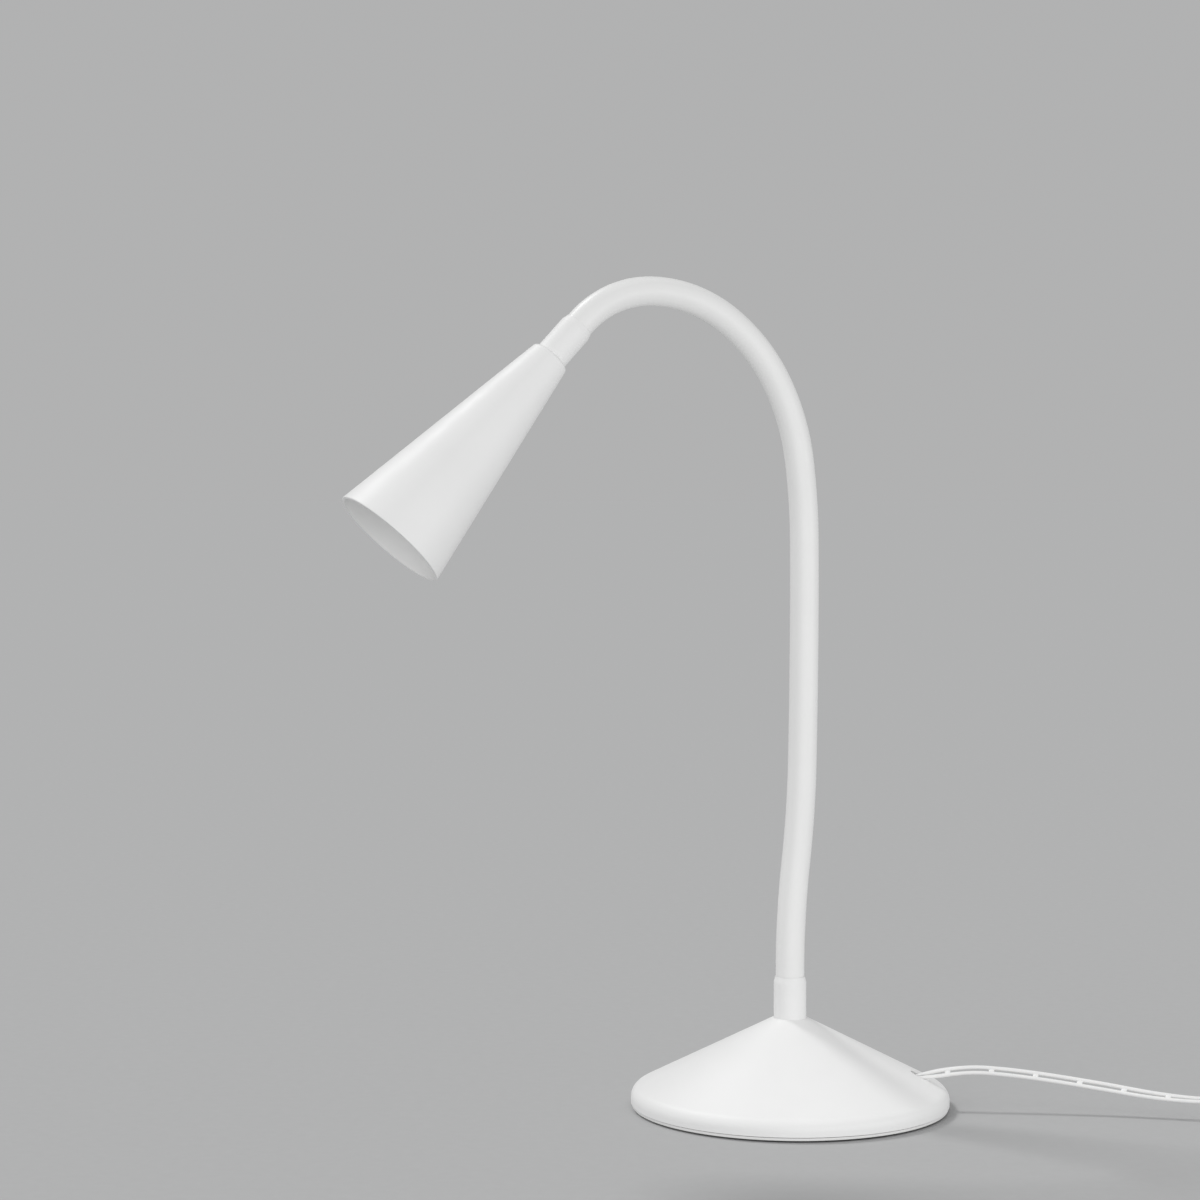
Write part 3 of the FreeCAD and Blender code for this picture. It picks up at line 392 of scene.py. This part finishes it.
def neck_stations(k, start, end):
    """Centre-line stations of the piece about bending point k, counted from 0: from the middle of
    the stretch before it, or start, to the middle of the stretch after it, or end."""
    before, after = NECK[k], NECK[k + 1]
    spans = [(before, before.length / 2 if start is None else start, before.length),
             (after, 0.0, after.length / 2 if end is None else end)]
    out = []
    for stretch, a, b in spans:
        steps = max(2, round((b - a) / ring_step))
        fractions = range(steps + 1) if stretch is after else range(steps)
        out += [stretch.at(a + (b - a) * i / steps) for i in fractions]
    return out


def neck_tube(name, stations, outer_r, inner_r, sides):
    """Tube, or rod where inner_r is 0, along the stations."""
    bm = bmesh.new()
    outer = [circle(p, NECK_SIDE, d.cross(NECK_SIDE), outer_r, sides) for p, d in stations]
    skin = loft(bm, outer, closed_ends=not inner_r)
    if inner_r:
        inner = [circle(p, NECK_SIDE, d.cross(NECK_SIDE), inner_r, sides) for p, d in stations]
        bore = loft(bm, inner, closed_ends=False)
        for a, b in ((skin[0], bore[0]), (skin[-1], bore[-1])):
            for i in range(sides):
                j = (i + 1) % sides
                bm.faces.new((a[i], a[j], b[j], b[i]))
                bm.edges.get((a[i], a[j])).smooth = False
                bm.edges.get((b[i], b[j])).smooth = False
    return new_mesh(name, bm), outer[0], outer[-1]


def neck():
    """Sleeve and lead in pieces, each built about one bending point."""
    last = len(PIVOTS) - 1
    sleeve_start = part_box("neck_sleeve_01")[0].z
    lead_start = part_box("neck_lead")[0].z
    for k, joint in enumerate(NECK_JOINTS):
        ends = (sleeve_start if k == 0 else None, sleeve_end if k == last else None)
        sleeve, first, final = neck_tube("sleeve_%02d" % (k + 1), neck_stations(k, *ends),
                                         neck_r, sleeve_inner_r, neck_sides)
        if k == last:
            end = NECK[-1].at(head_gap)[0]
        ends = (lead_start if k == 0 else None, lead_end if k == last else None)
        lead, _, _ = neck_tube("lead_%02d" % (k + 1), neck_stations(k, *ends), lead_r, 0, lead_sides)
        for piece, slot in ((sleeve, "white_sleeve"), (lead, "cord_white")):
            dress(piece, slot)
            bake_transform(piece)
        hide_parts("neck_sleeve_%02d" % (k + 1))
        if k == last:
            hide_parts("neck_sleeve_%02d" % (k + 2))
        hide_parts("neck_lead")


# Cord
def coil_points():
    """The coil's centre line: it spirals in, climbs a layer, and spirals out."""
    start = Vector(link_points[-1])
    outer_r = coil_mid_r + coil_turns_per_layer * coil_pitch / 2
    centre = start + Vector((0, outer_r, 0))
    count = round(2 * coil_turns_per_layer * coil_points_per_turn)
    out = []
    for k in range(2, count + 1):
        turns = k / coil_points_per_turn
        passed = min(turns, 2 * coil_turns_per_layer - turns)
        r = outer_r - passed * coil_pitch
        climb = min(max((turns - coil_turns_per_layer) * 2 + 0.5, 0.0), 1.0)
        a = 2 * math.pi * turns - math.pi / 2
        out.append(centre + Vector((r * math.cos(a), r * math.sin(a), layer_rise * climb)))
    return out


def cord_route():
    """Control points of the whole cord, and how many lie before the coil."""
    coil = coil_points()
    end = coil[-1] - Vector((cord_width, 0, 0))
    tail = [end] + [end + Vector((-back, aside, -down)) for back, aside, down in tail_steps]
    return [Vector(p) for p in cord_points + link_points] + coil + tail


def spline_line(points):
    """Points along the NURBS spline through the control points."""
    curve = bpy.data.curves.new("cord_route", "CURVE")
    curve.dimensions = "3D"
    curve.resolution_u = spline_fineness
    spline = curve.splines.new("NURBS")
    spline.points.add(len(points) - 1)
    for point, place in zip(spline.points, points):
        point.co = (*place, 1)
    spline.order_u = 3
    spline.use_endpoint_u = True
    obj = bpy.data.objects.new("cord_route", curve)
    bpy.context.scene.collection.objects.link(obj)
    bpy.context.view_layer.update()
    mesh = bpy.data.meshes.new_from_object(obj)
    line = [v.co.copy() for v in mesh.vertices]
    bpy.data.meshes.remove(mesh)
    bpy.data.objects.remove(obj)
    return line


def even(line, step):
    """The line's points at even steps, with their distances."""
    out, gone, wanted = [(0.0, line[0])], 0.0, step
    for a, b in zip(line, line[1:]):
        length = (b - a).length
        while length and wanted <= gone + length:
            out.append((wanted, a.lerp(b, (wanted - gone) / length)))
            wanted += step
        gone += length
    out.append((gone, line[-1]))
    return out


def eased(distance, knots):
    """Value between knots (distance, value), eased in and out."""
    if distance <= knots[0][0]:
        return knots[0][1]
    for (d0, v0), (d1, v1) in zip(knots, knots[1:]):
        if distance <= d1:
            t = (distance - d0) / (d1 - d0)
            return v0 + (v1 - v0) * t * t * (3 - 2 * t)
    return knots[-1][1]


def cord():
    """Twin cord with bridges between its strands, from the base through the switch to the plug."""
    line = even(spline_line(cord_route()), cord_step)
    total = line[-1][0]
    run = sum((Vector(b) - Vector(a)).length for a, b in zip(cord_points, cord_points[1:]))
    through = (Vector(link_points[0]) - Vector(cord_points[-1])).length
    link = sum((Vector(b) - Vector(a)).length for a, b in zip(link_points, link_points[1:]))
    lies = [(0.0, lie_exit), (bridge_first, lie_visible),
            (turned_share * run, lie_visible), (run, lie_switch),
            (run + through, lie_switch), (run + through + link, lie_coil),
            (total - coil_leave, lie_coil), (total - plug_enter, lie_plug)]
    stations = []
    for i, (distance, p) in enumerate(line):
        ahead = line[min(i + 1, len(line) - 1)][1] - line[max(i - 1, 0)][1]
        ahead.normalize()
        level = UP.cross(ahead).normalized()
        upright = ahead.cross(level)
        lie = math.radians(eased(distance, lies))
        across = level * math.cos(lie) + upright * math.sin(lie)
        stations.append((distance, p, ahead, across))
    bm = bmesh.new()
    for side in (-0.5, 0.5):
        aside = side * strand_apart
        loft(bm, [circle(p + across * aside, across, ahead.cross(across), strand_r, strand_sides)
                  for _, p, ahead, across in stations])
    count = int((total - bridge_first) / bridge_pitch)
    for k in range(count + 1):
        add_bridge(bm, stations, bridge_first + bridge_pitch * k)
    piece = new_mesh("cord", bm)
    dress(piece, "cord_white")
    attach(piece, "base")
    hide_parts("cord_run", "cord_link", "cord_coil", "cord_tail")


def add_bridge(bm, stations, middle):
    """Web between the strands that widens where it meets them."""
    near = min(range(len(stations)), key=lambda i: abs(stations[i][0] - middle))
    distance, p, ahead, across = stations[near]
    p = p + ahead * (middle - distance)
    through = ahead.cross(across)
    reach = strand_apart / 2
    rings = []
    for step in range(-bridge_rings, bridge_rings + 1):
        share = step / bridge_rings
        flare = 1 + bridge_flare * share * share
        half_l = bridge_l / 2 * flare
        half_t = bridge_t / 2 * flare
        at = p + across * (reach * share)
        rings.append([at + ahead * (half_l * math.cos(a)) + through * (half_t * math.sin(a))
                      for a in (2 * math.pi * i / bridge_sides for i in range(bridge_sides))])
    loft(bm, rings)


def add_floor():
    """Plain pale floor, in the tone of the background."""
    bm = bmesh.new()
    bmesh.ops.create_grid(bm, x_segments=1, y_segments=1, size=floor_half)
    floor = new_mesh("floor", bm)
    floor.location.z = -floor_drop
    mat, tree, shader, coords = material("floor_plain")
    grain = noise(tree, coords, scale=180.0, detail=6.0)
    tone(tree, shader, grain, floor_colour, darkest=0.985, lightest=1.01)
    shader.inputs["Roughness"].default_value = 0.95
    shader.inputs["Specular IOR Level"].default_value = 0.0
    floor.data.materials.append(mat)
    return floor


def add_world():
    """Soft light from all round. The camera, metal and glass see the background's tone instead."""
    world = bpy.data.worlds.new("studio")
    bpy.context.scene.world = world
    world.use_nodes = True
    tree = world.node_tree
    soft = tree.nodes["Background"]
    soft.inputs["Color"].default_value = (*soft_colour, 1)
    soft.inputs["Strength"].default_value = soft_strength
    shown = tree.nodes.new("ShaderNodeBackground")
    shown.inputs["Color"].default_value = (*shown_colour, 1)
    path = tree.nodes.new("ShaderNodeLightPath")
    seen = path.outputs["Is Camera Ray"]
    for kind in ("Is Glossy Ray", "Is Transmission Ray"):
        either = tree.nodes.new("ShaderNodeMath")
        either.operation = "MAXIMUM"
        tree.links.new(seen, either.inputs[0])
        tree.links.new(path.outputs[kind], either.inputs[1])
        seen = either.outputs["Value"]
    mix = tree.nodes.new("ShaderNodeMixShader")
    tree.links.new(seen, mix.inputs["Fac"])
    tree.links.new(soft.outputs["Background"], mix.inputs[1])
    tree.links.new(shown.outputs["Background"], mix.inputs[2])
    tree.links.new(mix.outputs["Shader"], tree.nodes["World Output"].inputs["Surface"])


def add_light(data, towards):
    """Light that shines in a direction."""
    lamp = bpy.data.objects.new(data.name, data)
    lamp.rotation_euler = Vector(towards).to_track_quat("-Z", "Y").to_euler()
    bpy.context.scene.collection.objects.link(lamp)
    return lamp


def add_lights(floor):
    """A key from the upper left, a wide light from the left, and two low fills that miss the floor."""
    for name, towards, strength, width in suns:
        data = bpy.data.lights.new(name, "SUN")
        data.energy = strength
        data.angle = math.radians(width)
        add_light(data, towards)
    lit = bpy.data.collections.new("fill_lit")
    lit.objects.link(floor)
    lit.collection_objects[0].light_linking.link_state = "EXCLUDE"
    for name, place, power, width, height in fills:
        data = bpy.data.lights.new(name, "AREA")
        data.shape = "RECTANGLE"
        data.size, data.size_y = width, height
        data.energy = power
        lamp = add_light(data, Vector(fill_aim) - Vector(place))
        lamp.location = place
        lamp.visible_camera = False
        lamp.light_linking.receiver_collection = lit


def add_camera():
    """The photograph's camera, level to the sides and a little down."""
    data = bpy.data.cameras.new("camera")
    data.sensor_width = sensor_mm
    data.lens = focal_px / frame_px * sensor_mm
    data.clip_start, data.clip_end = clip_near, clip_far
    camera = bpy.data.objects.new("camera", data)
    camera.location = camera_place
    camera.rotation_euler = (math.radians(90 - camera_pitch), 0, 0)
    bpy.context.scene.collection.objects.link(camera)
    bpy.context.scene.camera = camera
    bpy.context.scene.view_settings.view_transform = "Standard"


add_camera()
add_world()
add_lights(add_floor())
for row in frame["record"]["subparts"]:
    dress(NODES[row["node"]], row["material_slot"])
cord()
neck()
